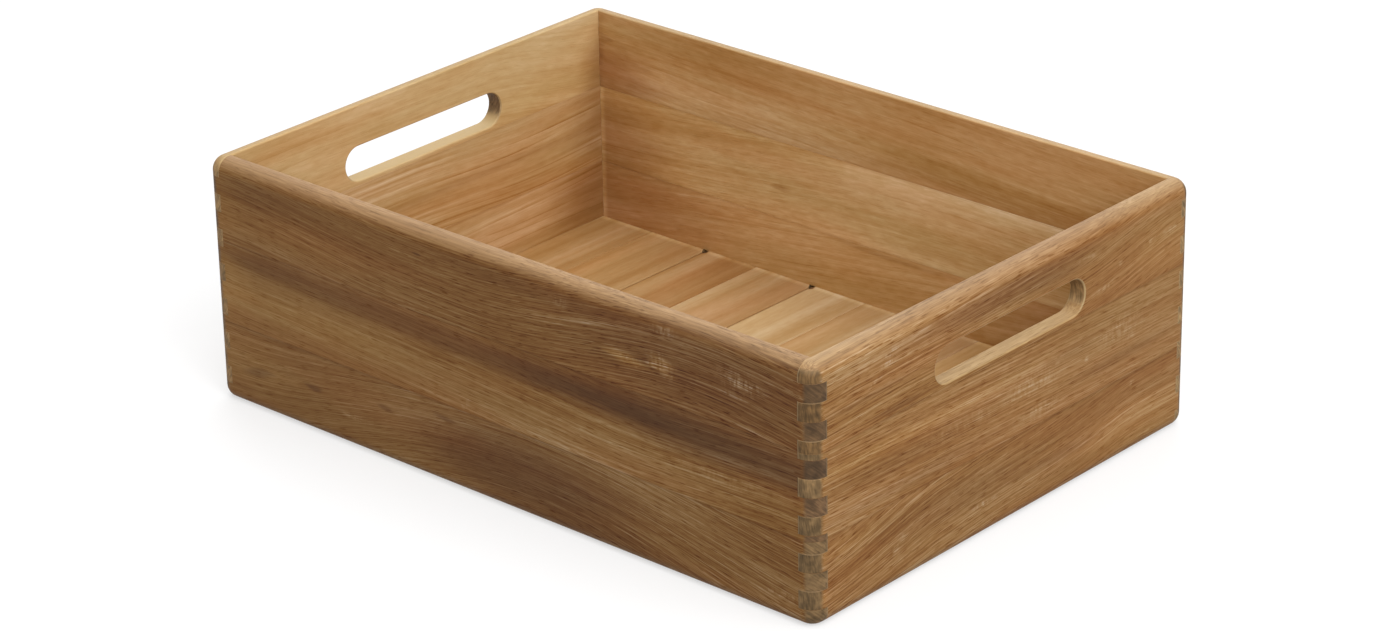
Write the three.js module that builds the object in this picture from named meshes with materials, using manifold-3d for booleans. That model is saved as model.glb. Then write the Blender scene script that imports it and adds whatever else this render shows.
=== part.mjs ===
// An open-topped storage box of oiled teak. Four walls, each a panel of edge-glued staves, meet in
// finger joints at the corners, the two short walls have a long hand hole, and boards let into a
// groove round the walls make the floor.

import * as THREE from 'three';
import { mergeVertices } from 'three/addons/utils/BufferGeometryUtils.js';
import Module from 'manifold-3d';

// Driving dimensions, in millimetres. X runs along the box, Y across it and Z up from the table, and
// the origin is the middle of the footprint.

// Outside of the box and the stock that its walls are made of.
const BOX_LENGTH = 420;
const BOX_WIDTH = 305;
const BOX_HEIGHT = 140;
const WALL = 10;

// Staves glued edge to edge in every wall, from the bottom up, and fingers in every corner joint. The
// top finger of each corner belongs to the short wall.
const STAVE_LEVELS = ['lower', 'middle', 'upper'];
const FINGERS_PER_CORNER = 14;

// Round-overs: the upright corners, the outside of the rim, the outside of the bottom edge and the
// small ease on the inside edges of the walls.
const CORNER_RADIUS = 9;
const RIM_RADIUS = 8;
const FOOT_RADIUS = 7;
const INNER_EASE = 1.2;

// Hand hole: a slot with round ends, its drop measured from the rim down to its middle. The upper stave
// takes in the whole hole and a narrow ledge under it, and the staves below share the rest.
const HAND_HOLE_LENGTH = 121;
const HAND_HOLE_HEIGHT = 20;
const HAND_HOLE_DROP = 34;
const HAND_HOLE_EASE = 1.2;
const LEDGE_UNDER_HOLE = 2.6;

// Floor boards and the groove that holds them, which leaves them room to swell at their ends.
const FLOOR_LIFT = 5;
const FLOOR_THICKNESS = 7;
const GROOVE_DEPTH = 5;
const SWELLING_GAP = 0.5;

// The floor is laid in equal pairs of boards, a narrow one at the left of a wider one. The two boards
// of a pair meet tight.
const FLOOR_PAIRS = 5;
const NARROW_BOARD = 38;
const BOARD_EDGE_EASE = 0.4;

// Pairs meet in an open seam, a tongue in a groove, where the corners of the boards are clipped. That
// leaves a small drain hole at each end of the seam, beside the wall.
const SEAM_GAP = 0.6;
const TONGUE_THICKNESS = 2.4;
const TONGUE_LENGTH = 3;
const TONGUE_END_GAP = 0.4;
const CLIP_WIDTH = 2.2;
const CLIP_REACH = 3.5;

// Facets in a quarter turn of each kind of round, the slopes of an eased edge in degrees, the least
// radius that a round-over leaves on an upright corner, and how far a cutter runs past what it cuts.
const CORNER_FACETS = 8;
const RIM_FACETS = 8;
const FOOT_FACETS = 6;
const HAND_HOLE_FACETS = 8;
const EASE_SLOPES = [22.5, 45, 67.5];
const LEAST_CORNER = 0.5;
const OVERRUN = 20;

// Oiled teak, from the palest boards to the darkest.
const TEAK = { pale: 0xcf9c58, golden: 0xb98043, brown: 0x9a6632, dark: 0x7c4d26 };
const TEAK_ROUGHNESS = 0.55;
const WALL_TONES = {
  front: { upper: TEAK.brown, middle: TEAK.dark, lower: TEAK.brown },
  back: { upper: TEAK.brown, middle: TEAK.golden, lower: TEAK.brown },
  left: { upper: TEAK.pale, middle: TEAK.golden, lower: TEAK.golden },
  right: { upper: TEAK.golden, middle: TEAK.golden, lower: TEAK.brown },
};
const FLOOR_TONES = [TEAK.golden, TEAK.pale];

// Values that follow from the dimensions above.
const halfLength = BOX_LENGTH / 2;
const halfWidth = BOX_WIDTH / 2;
const innerHalfLength = halfLength - WALL;
const innerHalfWidth = halfWidth - WALL;
const upperStaveHeight = HAND_HOLE_DROP + HAND_HOLE_HEIGHT / 2 + LEDGE_UNDER_HOLE;
const plainStaveHeight = (BOX_HEIGHT - upperStaveHeight) / (STAVE_LEVELS.length - 1);
const fingerHeight = BOX_HEIGHT / FINGERS_PER_CORNER;
const floorTop = FLOOR_LIFT + FLOOR_THICKNESS;
const pairWidth = (2 * innerHalfLength) / FLOOR_PAIRS;
const boardEndReach = GROOVE_DEPTH - SWELLING_GAP;
const tongueLow = FLOOR_LIFT + (FLOOR_THICKNESS - TONGUE_THICKNESS) / 2;
const tongueHigh = tongueLow + TONGUE_THICKNESS;

const wasm = await Module();
wasm.setup();

// A closed geometry as a solid that can be joined and cut.
function solidFrom(geometry) {
  geometry.deleteAttribute('normal');
  geometry.deleteAttribute('uv');
  const merged = mergeVertices(geometry);
  const vertProperties = merged.getAttribute('position').array;
  const triVerts = new Uint32Array(merged.index.array);
  return new wasm.Manifold(new wasm.Mesh({ numProp: 3, vertProperties, triVerts }));
}

// A solid's surface as a geometry with flat facets.
function geometryFrom(solid) {
  const { vertProperties, triVerts } = solid.getMesh();
  const geometry = new THREE.BufferGeometry();
  geometry.setAttribute('position', new THREE.BufferAttribute(vertProperties, 3));
  geometry.setIndex(new THREE.BufferAttribute(triVerts, 1));
  const faceted = geometry.toNonIndexed();
  faceted.computeVertexNormals();
  return faceted;
}

function joined(solids) {
  return solids.reduce((whole, solid) => whole.add(solid));
}

// A block between two corners, given in any order.
function block(cornerA, cornerB) {
  const bounds = new THREE.Box3().setFromPoints([cornerA, cornerB]);
  const size = bounds.getSize(new THREE.Vector3());
  const middle = bounds.getCenter(new THREE.Vector3());
  const geometry = new THREE.BoxGeometry(size.x, size.y, size.z);
  geometry.translate(middle.x, middle.y, middle.z);
  return solidFrom(geometry);
}

function rectangle(halfX, halfY) {
  return new THREE.Shape([
    new THREE.Vector2(-halfX, -halfY),
    new THREE.Vector2(halfX, -halfY),
    new THREE.Vector2(halfX, halfY),
    new THREE.Vector2(-halfX, halfY),
  ]);
}

function roundedRectangle(halfX, halfY, radius) {
  const quarter = Math.PI / 2;
  const shape = new THREE.Shape();
  shape.absarc(halfX - radius, -halfY + radius, radius, -quarter, 0);
  shape.absarc(halfX - radius, halfY - radius, radius, 0, quarter);
  shape.absarc(-halfX + radius, halfY - radius, radius, quarter, 2 * quarter);
  shape.absarc(-halfX + radius, -halfY + radius, radius, 2 * quarter, 3 * quarter);
  return shape;
}

// The box's plan raised between two levels, with the same round-over along its top and bottom edges.
function roundedPrism(low, high, edgeRadius, edgeFacets) {
  const radius = Math.min(edgeRadius, CORNER_RADIUS - LEAST_CORNER, WALL - INNER_EASE);
  const geometry = new THREE.ExtrudeGeometry(roundedRectangle(halfLength, halfWidth, CORNER_RADIUS), {
    depth: high - low - 2 * radius,
    curveSegments: CORNER_FACETS / 2,
    bevelThickness: radius,
    bevelSize: radius,
    bevelOffset: -radius,
    bevelSegments: edgeFacets,
  });
  geometry.translate(0, 0, low + radius);
  return solidFrom(geometry);
}

// Cutters that ease the edge of an opening in the plane z = 0, whose outside is on the +Z side. Each
// takes off a slope that is tangent to the eased edge.
function easeCutters(opening, ease, curveSegments) {
  return EASE_SLOPES.map((degrees) => {
    const angle = THREE.MathUtils.degToRad(degrees);
    return new THREE.ExtrudeGeometry(opening, {
      depth: OVERRUN,
      curveSegments,
      bevelThickness: ease * (1 - Math.tan(angle / 2)),
      bevelSize: ease * (1 - Math.tan(Math.PI / 4 - angle / 2)),
      bevelSegments: 1,
    });
  });
}

// The hollow inside of the box, open at the top and bottom, with eased edges there.
function cavity() {
  const low = new THREE.Vector3(-innerHalfLength, -innerHalfWidth, -OVERRUN);
  const high = new THREE.Vector3(innerHalfLength, innerHalfWidth, BOX_HEIGHT + OVERRUN);
  const mouth = rectangle(innerHalfLength, innerHalfWidth);
  const rimEase = easeCutters(mouth, INNER_EASE, 1).map((cutter) => cutter.translate(0, 0, BOX_HEIGHT));
  const footEase = easeCutters(mouth, INNER_EASE, 1).map((cutter) => cutter.rotateX(Math.PI));
  return joined([block(low, high), ...[...rimEase, ...footEase].map(solidFrom)]);
}

// The groove round the inside of the walls that the floor boards slide into.
function floorGroove() {
  const reachX = innerHalfLength + GROOVE_DEPTH;
  const reachY = innerHalfWidth + GROOVE_DEPTH;
  return block(
    new THREE.Vector3(-reachX, -reachY, FLOOR_LIFT),
    new THREE.Vector3(reachX, reachY, floorTop),
  );
}

// The hand hole through the short wall on one side, side -1 at the left and 1 at the right.
function handHole(side) {
  const radius = HAND_HOLE_HEIGHT / 2;
  const straight = HAND_HOLE_LENGTH / 2 - radius;
  const slot = new THREE.Shape();
  slot.absarc(straight, 0, radius, -Math.PI / 2, Math.PI / 2);
  slot.absarc(-straight, 0, radius, Math.PI / 2, (3 * Math.PI) / 2);

  // Stands a cutter upright in the wall, its +Z turned to one side at a distance from the middle.
  const place = (cutter, facing, distance) => {
    const along = new THREE.Vector3(0, facing, 0);
    const up = new THREE.Vector3(0, 0, 1);
    const out = new THREE.Vector3(facing, 0, 0);
    const turn = new THREE.Matrix4().makeBasis(along, up, out);
    turn.setPosition(distance, 0, BOX_HEIGHT - HAND_HOLE_DROP);
    return cutter.applyMatrix4(turn);
  };

  const through = new THREE.ExtrudeGeometry(slot, {
    depth: WALL + 2 * OVERRUN,
    curveSegments: HAND_HOLE_FACETS,
    bevelEnabled: false,
  });
  const ease = () => easeCutters(slot, HAND_HOLE_EASE, HAND_HOLE_FACETS);
  return joined([
    place(through, side, side * (innerHalfLength - OVERRUN)),
    ...ease().map((cutter) => place(cutter, side, side * halfLength)),
    ...ease().map((cutter) => place(cutter, -side, side * innerHalfLength)),
  ].map(solidFrom));
}

// All four walls as one ring, before it is divided into staves and fingers.
function wallRing() {
  const rimmed = roundedPrism(-BOX_HEIGHT, BOX_HEIGHT, RIM_RADIUS, RIM_FACETS);
  const footed = roundedPrism(0, 2 * BOX_HEIGHT, FOOT_RADIUS, FOOT_FACETS);
  return rimmed.intersect(footed).subtract(cavity()).subtract(floorGroove());
}

// One stave of a wall. A long wall lies along X and a short wall along Y, side is the sign of its place
// on the other axis, and the fingers of the neighbouring walls are notched out of both its ends.
function wallStave(ring, isLong, side, level) {
  const outside = isLong ? halfWidth : halfLength;
  const end = isLong ? halfLength : halfWidth;
  const point = (along, across, z) =>
    isLong ? new THREE.Vector3(along, across, z) : new THREE.Vector3(across, along, z);
  const inner = side * (outside - WALL);
  const outer = side * (outside + OVERRUN);
  const low = level * plainStaveHeight;
  const high = level === STAVE_LEVELS.length - 1 ? BOX_HEIGHT : low + plainStaveHeight;
  let stave = block(point(-end - OVERRUN, inner, low), point(end + OVERRUN, outer, high));
  for (let finger = 0; finger < FINGERS_PER_CORNER; finger += 1) {
    const isShortWallFinger = finger % 2 === 0;
    const top = BOX_HEIGHT - finger * fingerHeight;
    const bottom = BOX_HEIGHT - (finger + 1) * fingerHeight;
    if (isShortWallFinger !== isLong || bottom >= high || top <= low) continue;
    for (const tip of [-1, 1]) {
      const root = point(tip * (end - WALL), inner - side * OVERRUN, bottom);
      const past = point(tip * (end + 2 * OVERRUN), outer + side * OVERRUN, top);
      stave = stave.subtract(block(root, past));
    }
  }
  return ring.intersect(stave);
}

// Section of a floor board across its length, between two joints that each are a place and a kind: wall
// for an end that lies in the groove of a short wall, tight for a plain joint, open for an open seam.
function boardSection(left, right) {
  const points = [];
  const add = (x, z) => points.push(new THREE.Vector2(x, z));
  const edge = (joint, inward) => joint.at + (joint.kind === 'open' ? (inward * SEAM_GAP) / 2 : 0);
  const ease = (joint) => (joint.kind === 'wall' ? 0 : BOARD_EDGE_EASE);
  const start = edge(left, 1);
  const end = edge(right, -1);
  const grooveEnd = start + TONGUE_LENGTH + TONGUE_END_GAP;
  const tongueEnd = end + SEAM_GAP + TONGUE_LENGTH;

  add(start + ease(left), floorTop);
  if (left.kind !== 'wall') add(start, floorTop - ease(left));
  if (left.kind === 'open') {
    add(start, tongueHigh);
    add(grooveEnd, tongueHigh);
    add(grooveEnd, tongueLow);
    add(start, tongueLow);
  }
  add(start, FLOOR_LIFT);
  add(end, FLOOR_LIFT);
  if (right.kind === 'open') {
    add(end, tongueLow);
    add(tongueEnd, tongueLow);
    add(tongueEnd, tongueHigh);
    add(end, tongueHigh);
  }
  if (right.kind !== 'wall') add(end, floorTop - ease(right));
  add(end - ease(right), floorTop);
  return new THREE.Shape(points);
}

// The drain hole that the clipped corners of two boards leave beside the long wall on one side.
function drainHole(at, side) {
  const end = side * (innerHalfWidth + GROOVE_DEPTH + OVERRUN);
  const face = side * innerHalfWidth;
  const outline = new THREE.Shape([
    new THREE.Vector2(at - CLIP_WIDTH, end),
    new THREE.Vector2(at - CLIP_WIDTH, face),
    new THREE.Vector2(at, face - side * CLIP_REACH),
    new THREE.Vector2(at + CLIP_WIDTH, face),
    new THREE.Vector2(at + CLIP_WIDTH, end),
  ]);
  const geometry = new THREE.ExtrudeGeometry(outline, {
    depth: FLOOR_THICKNESS + 2 * OVERRUN,
    bevelEnabled: false,
  });
  geometry.translate(0, 0, FLOOR_LIFT - OVERRUN);
  return solidFrom(geometry);
}

// Every joint of the floor from the left wall to the right one, with its place on X.
function floorJoints() {
  const joints = [{ at: -innerHalfLength - boardEndReach, kind: 'wall' }];
  for (let pair = 0; pair < FLOOR_PAIRS; pair += 1) {
    const start = -innerHalfLength + pair * pairWidth;
    if (pair > 0) joints.push({ at: start, kind: 'open' });
    joints.push({ at: start + NARROW_BOARD, kind: 'tight' });
  }
  joints.push({ at: innerHalfLength + boardEndReach, kind: 'wall' });
  return joints;
}

function floorBoard(left, right) {
  const reach = innerHalfWidth + boardEndReach;
  const geometry = new THREE.ExtrudeGeometry(boardSection(left, right), {
    depth: 2 * reach,
    bevelEnabled: false,
  });
  geometry.rotateX(Math.PI / 2);
  geometry.translate(0, reach, 0);
  const seams = [left, right].filter((joint) => joint.kind === 'open');
  const cuts = seams.flatMap((seam) => [drainHole(seam.at, -1), drainHole(seam.at, 1)]);
  return cuts.reduce((board, cut) => board.subtract(cut), solidFrom(geometry));
}

function piece(name, solid, color) {
  const material = new THREE.MeshStandardMaterial({ color, roughness: TEAK_ROUGHNESS, metalness: 0 });
  const mesh = new THREE.Mesh(geometryFrom(solid), material);
  mesh.name = name;
  return mesh;
}

function walls() {
  const group = new THREE.Group();
  const ring = wallRing();
  const drilledRing = ring.subtract(handHole(-1)).subtract(handHole(1));
  const places = [
    { name: 'front', isLong: true, side: -1 },
    { name: 'back', isLong: true, side: 1 },
    { name: 'left', isLong: false, side: -1 },
    { name: 'right', isLong: false, side: 1 },
  ];
  for (const { name, isLong, side } of places) {
    STAVE_LEVELS.forEach((level, index) => {
      const stave = wallStave(isLong ? ring : drilledRing, isLong, side, index);
      group.add(piece(`${name}_${level}_stave`, stave, WALL_TONES[name][level]));
    });
  }
  return group;
}

function floor() {
  const group = new THREE.Group();
  const joints = floorJoints();
  for (let index = 1; index < joints.length; index += 1) {
    const board = floorBoard(joints[index - 1], joints[index]);
    group.add(piece(`floor_board_${index}`, board, FLOOR_TONES[index % FLOOR_TONES.length]));
  }
  return group;
}

const box = new THREE.Group();
box.add(walls(), floor());

export default box;
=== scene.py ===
"""Looks of an open teak box: finger-jointed walls of three glued staves, and a boarded floor.

Every board is cut from its own piece of solid, procedural teak. Marks on a wall are given in
millimetres from its left or front end and below the rim, and marks on the floor from its back and
left edges.
"""

import math
from collections import namedtuple

import bmesh
import bpy
from mathutils import Matrix, Vector


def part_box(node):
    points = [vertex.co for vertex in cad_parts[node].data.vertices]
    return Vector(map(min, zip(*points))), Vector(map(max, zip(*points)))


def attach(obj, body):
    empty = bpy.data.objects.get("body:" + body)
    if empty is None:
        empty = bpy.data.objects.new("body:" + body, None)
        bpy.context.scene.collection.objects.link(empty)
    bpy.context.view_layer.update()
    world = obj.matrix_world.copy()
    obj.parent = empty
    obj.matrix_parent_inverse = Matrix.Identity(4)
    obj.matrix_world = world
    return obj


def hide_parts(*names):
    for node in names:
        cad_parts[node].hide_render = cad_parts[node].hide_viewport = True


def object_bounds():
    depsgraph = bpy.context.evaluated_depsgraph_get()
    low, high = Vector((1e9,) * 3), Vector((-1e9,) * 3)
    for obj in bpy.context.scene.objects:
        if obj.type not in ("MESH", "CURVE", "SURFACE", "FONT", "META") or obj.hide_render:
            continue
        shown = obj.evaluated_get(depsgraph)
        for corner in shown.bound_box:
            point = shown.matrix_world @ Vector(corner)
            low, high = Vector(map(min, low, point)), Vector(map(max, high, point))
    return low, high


MM = 0.001
WHITE = (1.0, 1.0, 1.0, 1.0)

# Camera, found from the outlines and finger joints of the box
CAMERA_PLACE = (1.37611, -1.52953, 0.97738)
CAMERA_AZIMUTH = 41.940
CAMERA_ELEVATION = 24.160
CAMERA_ROLL = -1.004
CAMERA_LENS = 109.463
SENSOR_WIDTH = 36.0

# Floor, sky and lamps: a lamp has its direction from the box and its power
FLOOR_SIZE = 8.0
FLOOR_TINT = (0.40, 0.40, 0.40, 1.0)
FLOOR_GLOW = 0.56
SKY_STRENGTH = 0.35
BACKDROP_STRENGTH = 1.0
LAMP_DISTANCE = 2.6
LAMP_SIZE = 2.0
LAMPS = {
    "top": ((0, 0, 1), 21.0),
    "key": ((1, 0, 1), 25.0),
    "fill": ((1, -1, 1.2), 45.0),
    "rear": ((-1, 1, 1.2), 25.0),
}

# Meshes of the boards: how far sharp edges are eased, and what is sharp, creased, flat or one point
ARRIS = 0.22 * MM
ARRIS_SEGMENTS = 2
ROUND_PROFILE = 0.5
SHARP_EDGE = math.radians(35)
CREASE = math.radians(50)
COPLANAR = math.radians(0.6)
WELD = 0.001 * MM

# Joints of the box, in millimetres
WALL = 10.0
GROOVE = 5.0
FINGER_PITCH = 10.0
TOUCHING = 0.01

# Nodes: the middle of a noise, how broken it is, and the colour sockets of a mix node
NOISE_MIDDLE = 0.5
SOFT = 1.0
BROKEN = 2.0
MIX_COLOURS = slice(6, 8)
MIX_RESULT = 2

# Teak, from its darkest latewood to its palest sapwood, as displayed colours
TEAK_TONES = (
    (0.00, (62, 38, 22)),
    (0.25, (108, 71, 40)),
    (0.50, (150, 109, 68)),
    (0.75, (181, 144, 99)),
    (1.00, (214, 184, 142)),
)
RED_TEAK = (1.05, 0.95, 0.83)
OLIVE_TEAK = (0.98, 1.01, 0.90)
HUE_SIZE = (140, 22, 30)
HUE_SPREAD = (0.2, 0.8)
EVEN_HUE = 0.5
SEED_STEP = 37.0
ROUGHNESS = 0.60
PORE_ROUGHNESS = 0.15
GLOSS = 0.2
BUMP_STRENGTH = 0.4
BUMP_DEPTH = 0.12 * MM

# Rim, paler from wear by hands and sun and from painted light and sheen where it looks up: how far
# up a face must look, and places below the rim and from the middle of the wall
UPWARD = (0.2, 1.05)
WEAR_AND_SHEEN_TEAK = (158, 129, 94)
WEAR_AND_SHEEN_SHARE = 0.62
RIM_FADE = (9.0, 12.0)
RIM_ENDS = (60, 140)
RIM_GRAIN = 0.6
HAIR_SIZE = (90, 0.7, 0.7)
HAIR_SHADE = 0.9

# Hand hole: painted light on its sill where it looks up, and a painted highlight on its edges,
# which look partly outwards
SILL_TEAK = (196, 170, 124)
SILL_FADE = (26.0, 30.0)
SILL_GRAIN = 0.4
HOLE_EDGE_SHARE = 0.45
HOLE_EDGE_STARTS = (0.15, 0.45)
HOLE_EDGE_ENDS = (0.90, 0.99)
HOLE_REACH = (100, 125)
HOLE_TOP = (11, 13)

# Sawn ends: how far a face must look along the board and not up, its rings, and the pale seams
END_ON = (0.12, 0.44)
END_TOP = (0.45, 0.75)
END_TEAK = (108, 85, 56)
RING_SIZE = (0.8, 6.0, 40)
RING_SPREAD = (0.28, 0.72)
RING_SHADE = (0.68, 1.32)
MOTTLE_SIZE = (5, 5, 5)
MOTTLE_SHADE = (0.72, 1.28)
ZONE_SHADE = 1.6
SEAM_TEAK = (182, 156, 118)
SEAM_SHARE = 0.34
SEAM_WIDTH = (0.1, 0.45)
SEAM_INNER = (9.3, 9.8)

# A layer of noise: the size of its features along, across and through a board, and its strength
Layer = namedtuple("Layer", "size detail strength")

# How the grain bends across a board, and how uneven the edges of marks are, in millimetres
SWAY = Layer((240, 60, 60), SOFT, 6.0)
RIPPLE = Layer((60, 12, 12), BROKEN, 1.0)
WAVER_SIZE = (55, 9, 9)
WAVER_ALONG = 30.0
WAVER_ACROSS = 5.0
MARK_CORE = 0.2

# The grain, from broad clouds to single fibres, and how deep it goes in red, green and blue light
GRAIN_DEPTH = (1.85, 3.0, 5.3)
CLOUDS = Layer((150, 34, 34), SOFT, 0.30)
BANDS = Layer((420, 11, 11), SOFT, 0.34)
LINES = Layer((170, 2.4, 4.0), BROKEN, 0.48)
FIBRES = Layer((110, 0.9, 1.1), SOFT, 0.58)
HAIRS = Layer((22, 0.5, 0.5), SOFT, 0.42)
BLOTCHES = Layer((9, 2.2, 2.2), BROKEN, 0.22)

# Where the lines of the grain are calm, and its dark latewood, open pores and pale dashes
CALM_SIZE = (110, 26, 26)
CALM_SPREAD = (0.35, 0.65)
CALM_SHARE = 0.3
LATE_GAP = 6.0
LATE_SPREAD_SIZE = (400, 16, 30)
LATE_SPREAD = 5.0
LATE_EDGE = 6.0
LATE_FADE_SIZE = (140, 7, 20)
LATE_FADE = (0.46, 0.66)
LATE_SHADE = 0.22
PORE_SIZE = (9.0, 0.6, 0.6)
PORE_SPREAD = (0.42, 0.30)
PORE_SHADE = 0.25
DASH_SPREAD = (0.64, 0.76)
DASH_LIFT = 0.05

# Pale flecks, combed across the grain
FLECK_TEAK = (198, 170, 130)
COMB_SIZE = (2.2, 7, 7)
COMB_SPREAD = (0.36, 0.60)
WEFT_SIZE = (9, 0.9, 0.9)
WEFT_SPREAD = (0.30, 0.60)

# In millimetres: dark wood beside a joint, the depth of a wall's inner face, the strip at a corner
DIRT_REACH = 1.7
INSIDE_DEPTH = (8.2, 9.6)
CORNER_STRIP = (1.0, 4.5)

# How the grain runs in a board, and an oval mark on its face
Grain = namedtuple("Grain", "along across through")
Axis = namedtuple("Axis", "name sign origin")
Spot = namedtuple("Spot", "along across length height amount slope", defaults=(0.0,))

# A point of a board, in millimetres: its place in the board, on its face and in its wood
Point = namedtuple("Point", "along across through flat shaken raw bent wood")

# A board: the CAD node that it dresses, and its look. Light is added to its tone, from 0 to 1.
BOARD_DEFAULTS = {
    "inside": 0.0,  # painted light on the inside of the box
    "end": END_TEAK,  # colour of its sawn ends
    "ring_angle": 60,  # slope of the rings there, in degrees
    "tilt": 0.0,  # slope of its grain
    "warm": EVEN_HUE,  # how red it is
    "tint": (1, 1, 1),
    "bands": 1.0,  # strength of its broad grain
    "figure": 1.0,  # strength of its lines
    "fine": 1.0,  # strength of its fibres and pores
    "mottle": 1.0,  # strength of its blotches
    "ends": (1.0, 1.0),  # strength of its whole grain at its two ends
    "dirt": (0.06, 0.06),  # darkness beside its two long joints
    "glue": SEAM_SHARE,  # paleness of the seams between its fingers
    "worn": WEAR_AND_SHEEN_TEAK,  # colour of its rim, pale from wear and from painted light and sheen
    "worn_ends": None,  # colour of the rim's ends, where they differ
    "sill": 0.0,  # painted light on its hand hole's sill, where it has one
    "bore": END_TEAK,  # colour of the hand hole's ends, apart from its sawn ends: painted light and shade in the hole
    "corner": 0.0,  # light of the strip where its end meets a wall
    "swells": (),  # spots that its grain runs round
    "marks": (),  # soft spots of light, or of shade below 0
    "inner": (),  # the same on its inner face alone: painted shade, mostly in the inner back-left corner
    "stains": (),  # spots of stain and painted shade with clear edges
    "flecks": (),  # spots of pale figure
}
Board = namedtuple(
    "Board", ("node", "slot", "grain", "seed", "tone", *BOARD_DEFAULTS),
    defaults=BOARD_DEFAULTS.values(),
)

# Floor boards, counted from 0 at the left, and the drain holes at the ends of their open seams
FLOOR_SEED = 20
FLOOR_TONES = (0.66, 0.65, 0.60, 0.67, 0.77, 0.72, 0.65, 0.68, 0.62, 0.64)
FLOOR_LOOK = dict(warm=0.15, figure=0.2, fine=0.04, mottle=0.5, corner=0.12)
FLOOR_WARM = (1.04, 1.06, 1.13)
FLOOR_PALE = (1.06, 1.13, 1.36)
PALE_BOARDS = range(3, 7)
# painted shade on the floor along the back wall
FLOOR_SHADE = Spot(5, 200, 70, 600, -0.05)
FLOOR_MIDDLE = 150.0
FLOOR_REACH = 600.0
FLOOR_FALL = -0.06
TIGHT_JOINT = 0.05
OPEN_JOINT = 0.22
LEFT_OF_DRAINS = (1, 3, 5, 7)
DRAIN_PLACE = 6.9
DRAIN_SIZE = (3.0, 3.2)
# the drain holes' dark spot: stain and painted shade
DRAIN_STAIN_AND_SHADE = -0.6
STAIN_AND_SHADE_CORE = 0.6


def linear(display):
    """A displayed colour, 0 to 255 a channel, as linear light."""
    shares = [c / 255 for c in display]
    return [c / 12.92 if c <= 0.04045 else ((c + 0.055) / 1.055) ** 2.4 for c in shares]


def paint(display):
    """A displayed colour as a shader's colour."""
    return (*linear(display), 1.0)


class Graph:
    """The node tree of a material or a world. Most methods add a node and return its result."""

    def __init__(self, owner):
        owner.use_nodes = True
        self.tree = owner.node_tree
        self.tree.nodes.clear()

    def node(self, kind, **settings):
        made = self.tree.nodes.new("ShaderNode" + kind)
        for key, value in settings.items():
            setattr(made, key, value)
        return made

    def feed(self, socket, value):
        """Links another node's result to the socket, or sets the socket to a plain value."""
        if isinstance(value, bpy.types.NodeSocket):
            self.tree.links.new(value, socket)
        else:
            socket.default_value = value

    def math(self, operation, *values, clamp=False):
        made = self.node("Math", operation=operation, use_clamp=clamp)
        for socket, value in zip(made.inputs, values):
            self.feed(socket, value)
        return made.outputs[0]

    def add_scaled(self, value, factor, offset):
        return self.math("MULTIPLY_ADD", value, factor, offset)

    def product(self, first, *others):
        for other in others:
            first = self.math("MULTIPLY", first, other)
        return first

    def vector(self, x, y, z):
        made = self.node("CombineXYZ")
        for socket, value in zip(made.inputs, (x, y, z)):
            self.feed(socket, value)
        return made.outputs[0]

    def parts(self, vector):
        """The vector's X, Y and Z, by name."""
        made = self.node("SeparateXYZ")
        self.feed(made.inputs[0], vector)
        return made.outputs

    def stretched(self, place, size):
        """place, a vector in millimetres, measured in units of size along each axis."""
        made = self.node("VectorMath", operation="DIVIDE")
        self.feed(made.inputs[0], place)
        self.feed(made.inputs[1], size)
        return made.outputs[0]

    def noise(self, place, size, detail=BROKEN):
        """Soft noise from 0 to 1 with features of about size millimetres."""
        made = self.node("TexNoise")
        self.feed(made.inputs["Vector"], self.stretched(place, size))
        made.inputs["Scale"].default_value = 1.0
        made.inputs["Detail"].default_value = detail
        return made.outputs["Fac"]

    def drift(self, place, size, detail=BROKEN):
        """The same noise, as far below 0 as above it."""
        return self.math("SUBTRACT", self.noise(place, size, detail), NOISE_MIDDLE)

    def step(self, value, low, high, from_end=0.0, to_end=1.0):
        """A smooth step from from_end at low to to_end at high."""
        made = self.node("MapRange", interpolation_type="SMOOTHSTEP")
        ends = (low, high, from_end, to_end)
        self.feed(made.inputs["Value"], value)
        for name, end in zip(("From Min", "From Max", "To Min", "To Max"), ends):
            made.inputs[name].default_value = end
        return made.outputs["Result"]

    def spot(self, flat, mark, core):
        """1 inside the core of an oval mark on the board's face, fading to 0 at its edge."""
        made = self.node("Mapping", vector_type="TEXTURE")
        self.feed(made.inputs["Vector"], flat)
        made.inputs["Location"].default_value = (mark.along, mark.across, 0)
        made.inputs["Rotation"].default_value = (0, 0, math.atan(mark.slope))
        made.inputs["Scale"].default_value = (mark.length, mark.height, 1)
        reach = self.node("VectorMath", operation="LENGTH")
        self.feed(reach.inputs[0], made.outputs[0])
        return self.step(reach.outputs["Value"], core, 1.0, 1.0, 0.0)

    def spots(self, flat, marks, total, core=0.0):
        """total plus every mark's amount."""
        for mark in marks:
            total = self.add_scaled(self.spot(flat, mark, core), mark.amount, total)
        return total

    def ramp(self, value, stops):
        made = self.node("ValToRGB")
        self.feed(made.inputs["Fac"], value)
        points = made.color_ramp.elements
        while len(points) < len(stops):
            points.new(1.0)
        for point, (position, colour) in zip(points, stops):
            point.position = position
            point.color = (*colour, 1.0)
        return made.outputs["Color"]

    def blend(self, share, first, second, mode="MIX"):
        made = self.node("Mix", data_type="RGBA", blend_type=mode)
        self.feed(made.inputs["Factor"], share)
        for socket, value in zip(made.inputs[MIX_COLOURS], (first, second)):
            self.feed(socket, value)
        return made.outputs[MIX_RESULT]

    def shaded(self, colour, factor):
        """A colour, made darker or paler by a factor."""
        return self.blend(1.0, colour, self.vector(factor, factor, factor), "MULTIPLY")


def is_wall(board):
    return board.grain.across.name == "Z"


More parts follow.
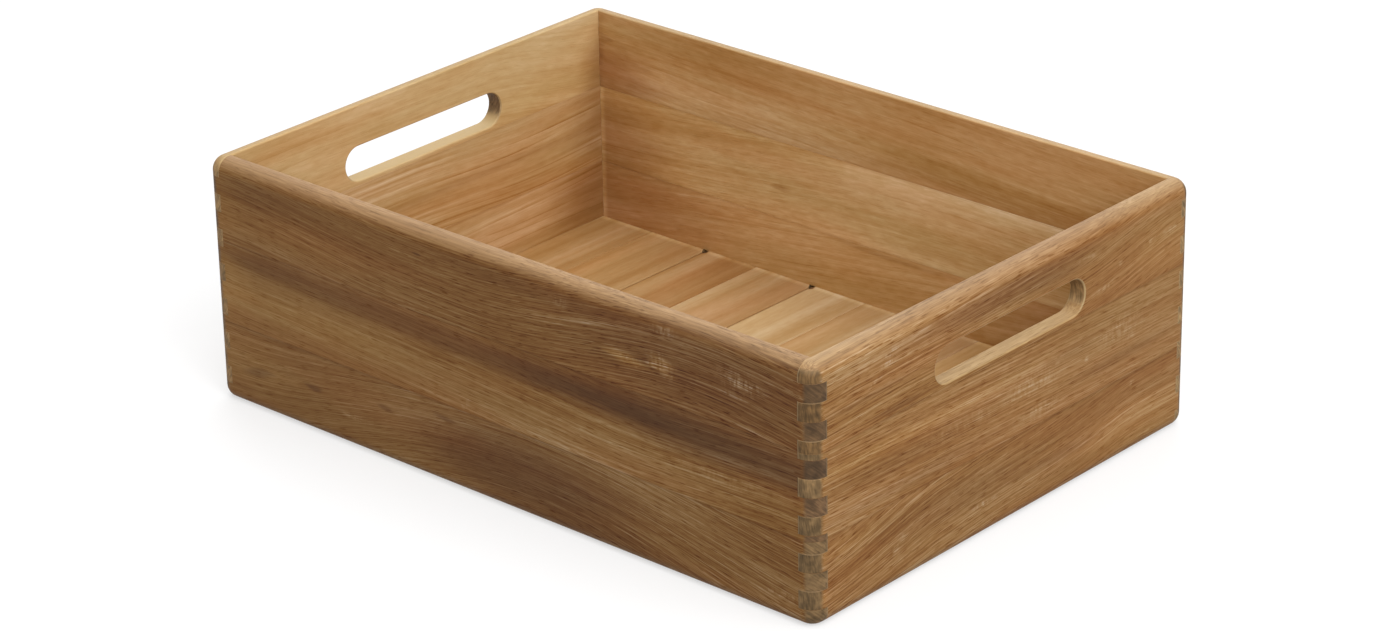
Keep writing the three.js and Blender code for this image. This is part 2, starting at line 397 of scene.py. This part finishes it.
def extent(node_name, axis):
    """A node's lowest and highest place on one axis of its grain, in millimetres."""
    index = "XYZ".index(axis.name)
    return sorted(axis.sign * (corner[index] - axis.origin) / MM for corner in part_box(node_name))


def layer(graph, place, kind, strength, total):
    """total plus one layer of noise, above and below it."""
    return graph.add_scaled(graph.drift(place, kind.size, kind.detail), strength, total)


def bent_across(graph, board, along, across, flat, raw):
    """The place across the face once the grain's slope, sway, ripple and swells are taken out."""
    bent = graph.add_scaled(along, board.tilt, across)
    for bend in (SWAY, RIPPLE):
        bent = layer(graph, raw, bend, bend.strength, bent)
    return graph.spots(flat, board.swells, bent)


def shaken_place(graph, along, across, raw):
    """The place on the face, shaken a little so that marks on it have uneven edges."""
    shake = graph.drift(raw, WAVER_SIZE)
    return graph.vector(
        graph.add_scaled(shake, WAVER_ALONG, along),
        graph.add_scaled(shake, -WAVER_ACROSS, across),
        0,
    )


def board_point(graph, board, position):
    """The point's places in the board, from its position in metres."""
    metres = graph.parts(position)
    places = []
    for axis in board.grain:
        factor = axis.sign / MM
        places.append(graph.add_scaled(metres[axis.name], factor, -axis.origin * factor))
    along, across, through = places
    seed = SEED_STEP * board.seed
    flat = graph.vector(along, across, 0)
    raw = graph.vector(along, across, graph.math("ADD", through, seed))
    shaken = shaken_place(graph, along, across, raw)
    bent = bent_across(graph, board, along, across, flat, raw)
    wood = graph.vector(along, graph.math("ADD", bent, seed), through)
    return Point(along, across, through, flat, shaken, raw, bent, wood)


def late_lines(graph, point):
    """Dark latewood: lines that darken slowly, end sharply and fade in and out along the board."""
    spread = graph.product(graph.noise(point.wood, LATE_SPREAD_SIZE, SOFT), LATE_SPREAD)
    turns = graph.add_scaled(point.bent, 1 / LATE_GAP, spread)
    late = graph.math("POWER", graph.math("FRACT", turns), LATE_EDGE)
    fade = graph.step(graph.noise(point.wood, LATE_FADE_SIZE), *LATE_FADE)
    return graph.product(late, fade)


def fine_grain(graph, board, point):
    """How the grain lightens and darkens the board, and where its open pores are."""
    calm = graph.step(graph.noise(point.raw, CALM_SIZE, SOFT), *CALM_SPREAD, CALM_SHARE, 1.0)
    lines = graph.product(calm, LINES.strength * board.figure)
    drift = layer(graph, point.raw, CLOUDS, CLOUDS.strength, 0.0)
    drift = layer(graph, point.wood, BANDS, BANDS.strength * board.bands, drift)
    drift = layer(graph, point.wood, LINES, lines, drift)
    drift = layer(graph, point.wood, FIBRES, FIBRES.strength * board.fine, drift)
    drift = layer(graph, point.wood, HAIRS, HAIRS.strength * board.fine, drift)
    drift = layer(graph, point.wood, BLOTCHES, BLOTCHES.strength * board.mottle, drift)
    drift = graph.add_scaled(late_lines(graph, point), -LATE_SHADE * board.figure, drift)
    speck = graph.noise(point.wood, PORE_SIZE, SOFT)
    pore = graph.step(speck, *PORE_SPREAD)
    drift = graph.add_scaled(pore, -PORE_SHADE * board.fine, drift)
    drift = graph.add_scaled(graph.step(speck, *DASH_SPREAD), DASH_LIFT * board.fine, drift)
    strength = graph.step(point.along, *extent(board.node, board.grain.along), *board.ends)
    return graph.product(drift, strength), pore


def grain_shade(graph, drift):
    """How the grain shades each colour of light: dark streaks are redder and pale ones greyer."""
    depths = (graph.product(drift, depth) for depth in GRAIN_DEPTH)
    return graph.vector(*(graph.math("EXPONENT", depth) for depth in depths))


def fleck_patches(graph, board, point):
    """Pale patches of figure, combed across the grain."""
    patch = graph.spots(point.shaken, board.flecks, 0.0)
    comb = graph.step(graph.noise(point.raw, COMB_SIZE), *COMB_SPREAD)
    weft = graph.step(graph.noise(point.raw, WEFT_SIZE, SOFT), *WEFT_SPREAD)
    return graph.product(patch, comb, weft)


def joint_dirt(graph, board, point):
    """Darker wood beside the board's long joints."""
    low, high = extent(board.node, board.grain.across)
    beside = graph.math("SUBTRACT", high, point.across)
    dark = graph.step(beside, 0.0, DIRT_REACH, -board.dirt[1], 0.0)
    if low > TOUCHING:
        beside = graph.math("SUBTRACT", point.across, low)
        dark = graph.math("ADD", dark, graph.step(beside, 0.0, DIRT_REACH, -board.dirt[0], 0.0))
    return dark


def corner_strip(graph, board, point):
    """The paler strip where the board's end comes out of its joint with a wall."""
    shown = graph.math("SUBTRACT", point.along, WALL if is_wall(board) else GROOVE)
    return graph.step(shown, *CORNER_STRIP, board.corner, 0.0)


def inner_painted_light(graph, board, point):
    """Painted light on a wall's inner face, paler inside the box, with the painted shade that only
    its inner face has and the corner strip.
    """
    light = graph.spots(point.shaken, board.inner, board.inside, MARK_CORE)
    light = graph.math("ADD", light, corner_strip(graph, board, point))
    return graph.product(light, graph.step(point.through, *INSIDE_DEPTH))


def teak_stops(*tints):
    """The tones of teak, each multiplied by the tints."""
    factor = [math.prod(channel) for channel in zip(*tints)]
    return [
        (place, [c * f for c, f in zip(linear(colour), factor)]) for place, colour in TEAK_TONES
    ]


def face_colour(graph, board, point, broad, drift):
    """The planed face: its tone and hue, with pale flecks, shaded by the grain."""
    light = inner_painted_light if is_wall(board) else corner_strip
    tone = graph.math("ADD", broad, joint_dirt(graph, board, point))
    tone = graph.math("ADD", tone, light(graph, board, point))
    tone = graph.spots(point.flat, board.stains, tone, STAIN_AND_SHADE_CORE)
    hue = graph.step(graph.noise(point.raw, HUE_SIZE), *HUE_SPREAD)
    hue = graph.math("ADD", hue, board.warm - EVEN_HUE, clamp=True)
    olive = graph.ramp(tone, teak_stops(OLIVE_TEAK, board.tint))
    red = graph.ramp(tone, teak_stops(RED_TEAK, board.tint))
    colour = graph.blend(hue, olive, red)
    if board.flecks:
        colour = graph.blend(fleck_patches(graph, board, point), colour, paint(FLECK_TEAK))
    return graph.blend(1.0, colour, grain_shade(graph, drift), "MULTIPLY")


def off_middle(graph, board, point):
    """Millimetres from the middle of the board."""
    middle = sum(extent(board.node, board.grain.along)) / 2
    return graph.math("ABSOLUTE", graph.math("SUBTRACT", point.along, middle))


def hole_place(graph, board, point):
    """1 round the board's hand hole, fading to 0 towards its ends and its rim."""
    near = graph.step(off_middle(graph, board, point), *HOLE_REACH, 1.0, 0.0)
    return graph.product(near, graph.step(point.across, *HOLE_TOP))


def finger_seam(graph, point):
    """Millimetres to the nearest glued seam: one at every second finger."""
    return graph.math("PINGPONG", point.across, FINGER_PITCH)


def end_rings(graph, board, point):
    """How the rings of a sawn end, and its mottle, shade it."""
    angle = math.radians(board.ring_angle)
    ring_part = graph.product(point.through, math.sin(angle))
    side_part = graph.product(point.through, math.cos(angle))
    ring = graph.add_scaled(point.across, math.cos(angle), ring_part)
    side = graph.add_scaled(point.across, -math.sin(angle), side_part)
    rings = graph.vector(graph.math("ADD", ring, SEED_STEP * board.seed), side, point.along)
    lines = graph.step(graph.noise(rings, RING_SIZE), *RING_SPREAD, *RING_SHADE)
    mottle = graph.step(graph.noise(rings, MOTTLE_SIZE), *RING_SPREAD, *MOTTLE_SHADE)
    return graph.product(lines, mottle)


def end_grain(graph, board, point, broad):
    """The sawn end of a board: fine rings across it, painted light and shade on its ends in a hand
    hole, and pale lines at the edges of its fingers.
    """
    zone = graph.add_scaled(graph.math("SUBTRACT", broad, board.tone), ZONE_SHADE, 1.0)
    base = paint(board.end)
    # the hand hole's ends get their own colour: painted light and shade in the hole
    if board.sill:
        base = graph.blend(hole_place(graph, board, point), base, paint(board.bore))
    colour = graph.shaded(base, graph.product(end_rings(graph, board, point), zone))
    seam = graph.step(finger_seam(graph, point), *SEAM_WIDTH, 1.0, 0.0)
    seam = graph.math("MAXIMUM", seam, graph.step(point.through, *SEAM_INNER))
    return graph.blend(graph.product(seam, board.glue), colour, paint(SEAM_TEAK))


def rim_wear_and_sheen(graph, board, point, upward, drift, colour):
    """The rounded rim, paler from wear by hands and sun and from painted light and sheen where it
    looks up, on some walls more at the ends.
    """
    grain = graph.add_scaled(drift, RIM_GRAIN, 1.0)
    grain = graph.add_scaled(graph.drift(point.raw, HAIR_SIZE), HAIR_SHADE, grain)
    # the rim's share: wear together with painted light and sheen on faces that look up
    rim = graph.product(upward, graph.step(point.across, *RIM_FADE, WEAR_AND_SHEEN_SHARE, 0.0))
    worn = paint(board.worn)
    if board.worn_ends:
        at_end = graph.step(off_middle(graph, board, point), *RIM_ENDS)
        worn = graph.blend(at_end, worn, paint(board.worn_ends))
    return graph.blend(rim, colour, graph.shaded(worn, grain))


def hole_painted_light(graph, board, point, upward, normal, drift, colour):
    """The sill of a hand hole, pale with painted light where it looks up, and a painted highlight
    on the round of its edges.
    """
    outward = graph.math("ABSOLUTE", normal[board.grain.through.name])
    # edge: a painted highlight on the round of the hole's edges
    starts = graph.step(outward, *HOLE_EDGE_STARTS)
    ends = graph.step(outward, *HOLE_EDGE_ENDS, 1.0, 0.0)
    edge = graph.product(starts, ends, hole_place(graph, board, point), HOLE_EDGE_SHARE)
    # sill: painted light where the sill looks up
    sill = graph.product(upward, graph.step(point.across, *SILL_FADE, 0.0, board.sill))
    pale = graph.shaded(paint(SILL_TEAK), graph.add_scaled(drift, SILL_GRAIN, 1.0))
    return graph.blend(graph.math("MAXIMUM", sill, edge), colour, pale)


def ends_wear_and_painted_light(graph, board, point, normal, broad, drift, colour):
    """The face's colour with the sawn ends added and, on a wall, the rim's wear and painted sheen
    and the hand hole's painted light.
    """
    endward = graph.math("ABSOLUTE", normal[board.grain.along.name])
    below_top = graph.step(normal["Z"], *END_TOP, 1.0, 0.0)
    sawn = graph.product(graph.step(endward, *END_ON), below_top)
    colour = graph.blend(sawn, colour, end_grain(graph, board, point, broad))
    if is_wall(board):
        # faces that look up get painted light: the rim's sheen and the hand hole's sill
        upward = graph.step(normal["Z"], *UPWARD)
        colour = rim_wear_and_sheen(graph, board, point, upward, drift, colour)
        if board.sill:
            colour = hole_painted_light(graph, board, point, upward, normal, drift, colour)
    return colour


def oiled_surface(graph, colour, drift, pore):
    """A dull surface, with rougher pores that are sunk a little."""
    bump = graph.node("Bump")
    bump.inputs["Strength"].default_value = BUMP_STRENGTH
    bump.inputs["Distance"].default_value = BUMP_DEPTH
    graph.feed(bump.inputs["Height"], graph.math("SUBTRACT", drift, pore))
    surface = graph.node("BsdfPrincipled")
    graph.feed(surface.inputs["Base Color"], colour)
    graph.feed(surface.inputs["Roughness"], graph.add_scaled(pore, PORE_ROUGHNESS, ROUGHNESS))
    surface.inputs["Specular IOR Level"].default_value = GLOSS
    graph.feed(surface.inputs["Normal"], bump.outputs[0])
    output = graph.node("OutputMaterial")
    graph.feed(output.inputs["Surface"], surface.outputs[0])


def teak(board):
    """Solid teak: bands, lines, fibres, pores and flecks, with sawn ends, and upper edges pale from
    wear and from painted light and sheen.
    """
    material = bpy.data.materials.new("teak_" + board.node)
    graph = Graph(material)
    coordinates = graph.node("TexCoord")
    point = board_point(graph, board, coordinates.outputs["Object"])
    normal = graph.parts(coordinates.outputs["Normal"])
    broad = graph.spots(point.shaken, board.marks, board.tone, MARK_CORE)
    drift, pore = fine_grain(graph, board, point)
    colour = face_colour(graph, board, point, broad, drift)
    colour = ends_wear_and_painted_light(graph, board, point, normal, broad, drift, colour)
    oiled_surface(graph, colour, drift, pore)
    return material


def walls_grain(low, high):
    """How the grain runs in each wall, from the box's corners in metres."""
    height = Axis("Z", -1, high.z)
    return {
        "front": Grain(Axis("X", 1, low.x), height, Axis("Y", 1, low.y)),
        "back": Grain(Axis("X", 1, low.x), height, Axis("Y", -1, high.y)),
        "left": Grain(Axis("Y", 1, low.y), height, Axis("X", 1, low.x)),
        "right": Grain(Axis("Y", 1, low.y), height, Axis("X", -1, high.x)),
    }


def floor_grain():
    """How the grain runs in the floor: from its back edge, its left edge and its top."""
    low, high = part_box("floor_board_1")
    return Grain(Axis("Y", -1, high.y), Axis("X", 1, low.x), Axis("Z", -1, high.z))


def front_boards(grain):
    look = dict(grain=grain, inside=0.16, ring_angle=-45, warm=0.2, ends=(0.55, 1.05))
    return [
        Board(
            "front_upper_stave", "teak_brown", seed=1, tone=0.325, end=(93, 70, 46), **look,
            tint=(0.98, 0.97, 0.81), figure=1.1, fine=1.4, worn=(175, 143, 106),
            swells=(Spot(340, 22, 150, 90, 16), Spot(0, 20, 150, 90, 11)),
            marks=(
                Spot(40, 12, 60, 9, -0.04), Spot(250, 10, 110, 9, -0.04),
                Spot(360, 24, 130, 40, -0.09), Spot(60, 32, 90, 14, 0.05),
                # Spot(0, 25, ...) at the left end: painted light on the rounded front-left corner
                Spot(0, 25, 40, 40, 0.06), Spot(155, 14, 5, 1.2, -0.15),
                Spot(300, 30, 22, 6, 0.18), Spot(325, 27, 9, 8, 0.14),
            ),
            flecks=(
                Spot(304, 30, 16, 6, 0.22), Spot(325, 27, 9, 10, 0.42), Spot(372, 22, 22, 10, 0.30),
                Spot(325, 8, 16, 4, 0.25), Spot(256, 12, 8, 5, 0.25),
            ),
        ),
        Board(
            "front_middle_stave", "teak_dark", seed=2, tone=0.405, end=(102, 77, 52), **look,
            tilt=-0.045, tint=(0.98, 1.0, 0.90), swells=(Spot(420, 70, 150, 100, 8),),
            marks=(
                Spot(365, 57, 200, 19, -0.235, 0.02), Spot(150, 55, 270, 12, -0.14, 0.02),
                # Spot(0, 65, ...) at the left end: painted light on the rounded front-left corner
                Spot(42, 53, 40, 9, -0.03), Spot(70, 76, 120, 13, 0.06), Spot(0, 65, 40, 40, 0.06),
            ),
            flecks=(Spot(184, 89, 4, 5, 0.30), Spot(360, 76, 60, 6, 0.14)),
        ),
        Board(
            "front_lower_stave", "teak_brown", seed=3, tone=0.36, end=(114, 90, 60), **look,
            tint=(0.98, 1.0, 0.90), fine=1.25, swells=(Spot(235, 135, 230, 100, 38),),
            marks=(
                Spot(230, 116, 110, 30, -0.16), Spot(33, 117, 12, 4, -0.12),
                Spot(71, 114, 9, 3, -0.14), Spot(128, 109, 10, 3, -0.10),
                Spot(168, 102, 10, 3, -0.10), Spot(300, 132, 70, 7, -0.07),
                Spot(20, 112, 60, 24, 0.06),
            ),
            flecks=(Spot(105, 121, 18, 3, 0.28), Spot(400, 127, 18, 4, 0.28)),
        ),
    ]


def right_boards(grain):
    look = dict(grain=grain, inside=0.12, ring_angle=84, warm=0.35, ends=(1.0, 0.6))
    return [
        Board(
            "right_upper_stave", "teak_golden", seed=10, tone=0.475, end=(100, 75, 45), **look,
            # bore: painted light on the ends inside the hand hole
            tilt=0.04, tint=(1.0, 0.99, 0.90), fine=1.2, sill=0.46, bore=(137, 109, 73),
            worn=(156, 131, 101), worn_ends=(178, 153, 117), swells=(Spot(310, 30, 110, 80, 12),),
            marks=(
                Spot(150, 12, 110, 11, -0.13), Spot(40, 29, 50, 3, -0.07),
                Spot(65, 42, 30, 2.5, -0.10), Spot(66, 46, 26, 2.5, -0.07),
                Spot(190, 18, 45, 5, -0.05), Spot(285, 30, 50, 24, 0.06), Spot(0, 45, 10, 7, 0.06),
            ),
            flecks=(
                Spot(60, 12, 8, 4, 0.35), Spot(55, 17, 10, 2, 0.32), Spot(44, 24, 3, 2, 0.5),
                Spot(218, 15, 13, 2, 0.35), Spot(240, 28, 3, 2, 0.5), Spot(265, 24, 10, 3, 0.4),
                Spot(228, 37, 10, 2, 0.35), Spot(287, 23, 10, 3, 0.4),
            ),
        ),
        Board(
            "right_middle_stave", "teak_golden", seed=11, tone=0.485, end=(115, 91, 60), **look,
            tilt=-0.02, tint=(0.99, 1.0, 0.95), bands=0.8, figure=0.8, fine=1.1,
            marks=(
                Spot(70, 60, 150, 5, 0.10), Spot(80, 86, 95, 6, -0.07),
                Spot(245, 80, 70, 5, -0.06), Spot(60, 72, 90, 9, -0.05),
                Spot(200, 63, 40, 6, -0.04), Spot(170, 76, 40, 20, 0.02),
                Spot(0, 60, 10, 12, 0.05), Spot(0, 85, 12, 8, -0.16),
            ),
            flecks=(
                Spot(170, 70, 36, 10, 0.26), Spot(172, 86, 28, 6, 0.28),
                Spot(245, 64, 28, 13, 0.24), Spot(110, 72, 50, 8, 0.18),
                Spot(214, 72, 3, 2, 0.5), Spot(250, 72, 6, 3, 0.35),
            ),
        ),
        Board(
            "right_lower_stave", "teak_brown", seed=12, tone=0.445, end=(99, 78, 51), **look,
            tilt=0.09, tint=(0.99, 0.97, 0.85), fine=1.2,
            swells=(
                Spot(0, 115, 100, 90, -8), Spot(200, 115, 75, 90, -2), Spot(305, 115, 60, 90, -4),
            ),
            marks=(
                Spot(265, 122, 80, 18, 0.09), Spot(110, 110, 90, 16, -0.06),
                Spot(190, 118, 60, 5, -0.06), Spot(20, 102, 40, 8, 0.04), Spot(0, 125, 10, 7, 0.11),
            ),
            flecks=(
                Spot(130, 122, 16, 3, 0.35), Spot(63, 118, 6, 12, 0.2), Spot(250, 100, 3, 3, 0.5),
            ),
        ),
    ]


def back_boards(grain):
    look = dict(grain=grain, end=(140, 112, 74), fine=0.15, mottle=0.8)
    return [
        Board(
            "back_upper_stave", "teak_brown", seed=4, tone=0.50, inside=0.26, **look,
            tilt=-0.04, warm=0.7, bands=0.65, figure=0.5, worn=(188, 165, 127),
            marks=(Spot(240, 44, 260, 12, -0.08),),
            # inner: painted shade in the inner back-left corner
            inner=(Spot(18, 38, 50, 26, -0.26), Spot(9, 20, 7, 30, -0.14)),
            flecks=(Spot(65, 28, 8, 18, 0.17), Spot(285, 15, 7, 10, 0.17)),
        ),
        Board(
            "back_middle_stave", "teak_golden", seed=5, tone=0.565, inside=0.25, **look,
            tilt=0.05, warm=0.4, bands=0.6, figure=0.45, corner=0.16,
            swells=(Spot(210, 70, 200, 90, 6),),
            marks=(
                Spot(149, 74, 9, 3, -0.14), Spot(310, 52, 110, 12, -0.01),
                Spot(230, 48, 240, 12, 0.06),
            ),
            inner=(Spot(5, 84, 85, 52, -0.30),),
        ),
        Board(
            "back_lower_stave", "teak_brown", seed=6, tone=0.525, inside=0.25, **look,
            tilt=0.11, warm=0.7, bands=0.75, figure=0.55, corner=0.16,
            marks=(Spot(230, 95, 70, 2.5, -0.12),),
            inner=(Spot(5, 112, 130, 60, -0.27), Spot(360, 112, 120, 50, -0.13)),
        ),
    ]


def left_boards(grain):
    look = dict(grain=grain, glue=0.08, fine=0.06, mottle=0.55)
    return [
        Board(
            "left_upper_stave", "teak_pale", seed=7, tone=0.58, inside=0.25, **look,
            # bore: painted shade on the ends inside the hand hole
            end=(149, 119, 80), warm=0.2, bands=0.5, figure=0.4, sill=0.94, bore=(115, 89, 60),
            worn=(177, 153, 112), swells=(Spot(300, 30, 110, 90, -16),),
            # inner: painted shade in the inner back-left corner, on each stave
            marks=(Spot(240, 36, 40, 12, 0.04),), inner=(Spot(302, 38, 32, 38, -0.26),),
        ),
        Board(
            "left_middle_stave", "teak_golden", seed=8, tone=0.54, inside=0.22, **look,
            end=(135, 106, 70), tint=(1.0, 1.03, 1.12), bands=1.3, figure=1.3,
            swells=(Spot(230, 70, 90, 90, -4),), marks=(Spot(200, 70, 130, 4, -0.08),),
            inner=(Spot(302, 72, 44, 50, -0.22),),
        ),
        Board(
            "left_lower_stave", "teak_golden", seed=9, tone=0.49, inside=0.20, **look,
            end=(135, 106, 70), tilt=0.02, tint=(1.0, 1.0, 1.02), figure=0.8,
            inner=(Spot(302, 112, 66, 50, -0.25),),
        ),
    ]


def wall_boards(grains):
    makers = {
        "front": front_boards, "back": back_boards, "left": left_boards, "right": right_boards,
    }
    return [board for wall, make in makers.items() for board in make(grains[wall])]


def floor_marks(name, grain):
    """Painted shade on the floor at the back wall, and each of its boards darker towards its right
    edge.
    """
    left, right = extent(name, grain.across)
    return FLOOR_SHADE, Spot(FLOOR_MIDDLE, right, FLOOR_REACH, right - left, FLOOR_FALL)


def drain_stains_and_shade(index, name, grain):
    """Dark stain and painted shade round the drain holes, at both ends of an open seam beside the
    board.
    """
    left, right = extent(name, grain.across)
    back, front = extent(name, grain.along)
    seams = [right] * (index in LEFT_OF_DRAINS) + [left] * (index - 1 in LEFT_OF_DRAINS)
    places = (back + DRAIN_PLACE, front - DRAIN_PLACE)
    return [Spot(place, seam, *DRAIN_SIZE, DRAIN_STAIN_AND_SHADE) for seam in seams for place in places]


def floor_board(index, tone, grain):
    """A board of the floor. Two make a pair: the joint in it is tight, those beside it are open."""
    name = f"floor_board_{index + 1}"
    first = index % 2 == 0
    return Board(
        name, "teak_pale" if first else "teak_golden", grain, FLOOR_SEED + index, tone,
        tint=FLOOR_PALE if index in PALE_BOARDS else FLOOR_WARM,
        dirt=(OPEN_JOINT, TIGHT_JOINT) if first else (TIGHT_JOINT, OPEN_JOINT),
        marks=floor_marks(name, grain), stains=drain_stains_and_shade(index, name, grain), **FLOOR_LOOK,
    )


def floor_boards():
    grain = floor_grain()
    return [floor_board(index, tone, grain) for index, tone in enumerate(FLOOR_TONES)]


def sharp_edges(solid):
    pairs = (edge for edge in solid.edges if len(edge.link_faces) == 2)
    return [edge for edge in pairs if edge.calc_face_angle() > SHARP_EDGE]


def eased_mesh(node, name):
    """The board's solid with its flat faces made whole and its sharp edges eased."""
    solid = bmesh.new()
    solid.from_mesh(node.data)
    bmesh.ops.remove_doubles(solid, verts=solid.verts, dist=WELD)
    bmesh.ops.dissolve_limit(
        solid, angle_limit=COPLANAR, verts=solid.verts, edges=solid.edges
    )
    bmesh.ops.bevel(
        solid, geom=sharp_edges(solid), offset=ARRIS, offset_type="OFFSET",
        segments=ARRIS_SEGMENTS, profile=ROUND_PROFILE, affect="EDGES", clamp_overlap=True,
    )
    for face in solid.faces:
        face.smooth = True
    for edge in solid.edges:
        edge.smooth = len(edge.link_faces) != 2 or edge.calc_face_angle() < CREASE
    mesh = bpy.data.meshes.new(name)
    solid.to_mesh(mesh)
    solid.free()
    return mesh


def dress(board, node):
    """The board's own mesh and teak, in place of its CAD node."""
    name = board.node.replace("_stave", "").replace("floor_board", "floor") + "_teak"
    piece = bpy.data.objects.new(name, eased_mesh(node, name))
    bpy.context.scene.collection.objects.link(piece)
    piece.data.materials.append(teak(board))
    even = piece.modifiers.new("even_faces", "WEIGHTED_NORMAL")
    even.keep_sharp = True
    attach(piece, "root")
    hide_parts(board.node)


def camera():
    azimuth, elevation, roll = (
        math.radians(angle) for angle in (CAMERA_AZIMUTH, CAMERA_ELEVATION, CAMERA_ROLL)
    )
    back = Vector((
        math.sin(azimuth) * math.cos(elevation),
        -math.cos(azimuth) * math.cos(elevation),
        math.sin(elevation),
    ))
    right = Vector((math.cos(azimuth), math.sin(azimuth), 0))
    up = back.cross(right)
    across = right * math.cos(roll) + up * math.sin(roll)
    upward = up * math.cos(roll) - right * math.sin(roll)
    data = bpy.data.cameras.new("camera")
    data.lens = CAMERA_LENS
    data.sensor_width = SENSOR_WIDTH
    made = bpy.data.objects.new("camera", data)
    turned = Matrix((across, upward, back)).transposed().to_4x4()
    made.matrix_world = Matrix.Translation(CAMERA_PLACE) @ turned
    bpy.context.scene.collection.objects.link(made)
    bpy.context.scene.camera = made


def soft_lamp(name, direction, power):
    data = bpy.data.lights.new(name, "AREA")
    data.shape = "SQUARE"
    data.size = LAMP_SIZE
    data.energy = power
    lamp = bpy.data.objects.new(name, data)
    lamp.location = Vector(direction).normalized() * LAMP_DISTANCE
    lamp.rotation_mode = "QUATERNION"
    lamp.rotation_quaternion = (-lamp.location).to_track_quat("-Z", "Y")
    bpy.context.scene.collection.objects.link(lamp)


def seen_directly(graph):
    """1 for rays from the camera, and for what shows in reflections or through glass."""
    path = graph.node("LightPath")
    seen = graph.math("MAXIMUM", path.outputs["Is Camera Ray"], path.outputs["Is Glossy Ray"])
    return graph.math("MAXIMUM", seen, path.outputs["Is Transmission Ray"])


def pale_floor():
    """Matt, with a glow that makes it white where it is lit and keeps the box's shadow."""
    material = bpy.data.materials.new("pale_floor")
    graph = Graph(material)
    matt = graph.node("BsdfDiffuse")
    matt.inputs["Color"].default_value = FLOOR_TINT
    glow = graph.node("Emission")
    graph.feed(glow.inputs["Strength"], graph.product(seen_directly(graph), FLOOR_GLOW))
    both = graph.node("AddShader")
    graph.feed(both.inputs[0], matt.outputs[0])
    graph.feed(both.inputs[1], glow.outputs[0])
    output = graph.node("OutputMaterial")
    graph.feed(output.inputs["Surface"], both.outputs[0])
    return material


def floor():
    mesh = bpy.data.meshes.new("floor")
    half = FLOOR_SIZE / 2
    corners = [(-half, -half, 0), (half, -half, 0), (half, half, 0), (-half, half, 0)]
    mesh.from_pydata(corners, [], [(0, 1, 2, 3)])
    mesh.materials.append(pale_floor())
    made = bpy.data.objects.new("floor", mesh)
    bpy.context.scene.collection.objects.link(made)


def sky():
    """Soft light from all round, white where it is seen."""
    world = bpy.data.worlds.new("studio")
    bpy.context.scene.world = world
    graph = Graph(world)
    light = graph.node("Background")
    light.inputs["Color"].default_value = WHITE
    extra = BACKDROP_STRENGTH - SKY_STRENGTH
    strength = graph.add_scaled(seen_directly(graph), extra, SKY_STRENGTH)
    graph.feed(light.inputs["Strength"], strength)
    output = graph.node("OutputWorld")
    graph.feed(output.inputs["Surface"], light.outputs[0])


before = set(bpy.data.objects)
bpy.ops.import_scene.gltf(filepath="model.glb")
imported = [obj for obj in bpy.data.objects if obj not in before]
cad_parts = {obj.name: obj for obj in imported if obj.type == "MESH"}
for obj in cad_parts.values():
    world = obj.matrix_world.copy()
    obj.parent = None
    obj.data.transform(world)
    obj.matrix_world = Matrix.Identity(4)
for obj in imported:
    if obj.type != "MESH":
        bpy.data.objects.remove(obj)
cad_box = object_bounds()
bpy.context.scene.view_settings.view_transform = "Standard"
camera()
sky()
floor()
for lamp_name, (lamp_direction, lamp_power) in LAMPS.items():
    soft_lamp(lamp_name, lamp_direction, lamp_power)
for board in wall_boards(walls_grain(*cad_box)) + floor_boards():
    dress(board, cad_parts[board.node])
